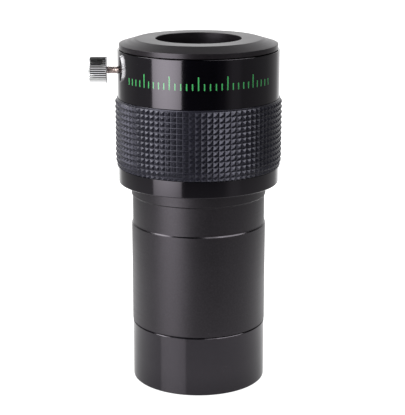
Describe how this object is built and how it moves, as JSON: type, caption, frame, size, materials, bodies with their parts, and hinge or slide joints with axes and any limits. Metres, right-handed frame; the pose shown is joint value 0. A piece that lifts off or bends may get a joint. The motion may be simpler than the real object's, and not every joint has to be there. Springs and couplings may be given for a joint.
{
  "type": "barlow lens",
  "caption": "Barlow lens: black nosepiece tube with a screw-in doublet cell, rubber grip, side thumbscrew that clamps a ring, and a lift-out reducer for a smaller eyepiece.",
  "frame": {"origin": "on the optical axis, in the plane of the nosepiece's open end, which the part stands on", "axes": "+Z along the optical axis towards the eyepiece, thumbscrew along -X, +Y completes a right-handed frame"},
  "size_m": [0.0718, 0.0624, 0.1312],
  "materials": {
    "housing": "glossy black anodised",
    "grip": "moulded rubber with rows of small pyramids",
    "ring": "bright spring brass",
    "knob": "chrome plate over straight knurling",
    "stud": "threaded, dull",
    "pad": "white nylon",
    "reducer": "satin black anodised",
    "barrel": "satin black anodised",
    "baffle": "flat black paint",
    "cell": "glossy black anodised outside",
    "glass": "polished, green anti-reflection coating",
    "spacer": "flat black paint",
    "retainer": "flat black anodised, with two spanner slots"
  },
  "bodies": {
    "body": {"main_housing": "housing", "grip_sleeve": "grip", "compression_ring": "ring", "barrel_tube": "barrel", "baffle_ring": "baffle"},
    "reducer": {"reducer": "reducer"},
    "doublet": {"negative_element": "glass", "positive_element": "glass", "element_spacer": "spacer"},
    "cell": {"lens_cell": "cell", "lens_retainer": "retainer"},
    "screw_tip": {"thumbscrew_pad": "pad"},
    "thumbscrew": {"thumbscrew_knob": "knob", "thumbscrew_stud": "stud"}
  },
  "joints": [
    {"name": "reducer_lift", "type": "slide", "parent": "body", "child": "reducer", "axis": [0, 0, 1], "range_m": [0, 0.035]},
    {"name": "lens_cell_feed", "type": "slide", "parent": "body", "child": "doublet", "axis": [0, 0, -1], "range_m": [0, 0.00525]},
    {"name": "lens_cell_turn", "type": "hinge", "parent": "doublet", "child": "cell", "pos_m": [0, 0, 0], "axis": [0, 0, -1], "range_deg": [0, 2521]},
    {"name": "thumbscrew_feed", "type": "slide", "parent": "body", "child": "screw_tip", "axis": [-1, 0, 0], "range_m": [0, 0.0025]},
    {"name": "thumbscrew_turn", "type": "hinge", "parent": "screw_tip", "child": "thumbscrew", "pos_m": [-0.037, 0, 0.1193], "axis": [-1, 0, 0], "range_deg": [0, 1801]}
  ],
  "couplings": [
    {"joint": "lens_cell_turn", "follows": "lens_cell_feed", "rad_per_m": 8377.6},
    {"joint": "thumbscrew_turn", "follows": "thumbscrew_feed", "rad_per_m": 12566}
  ]
}
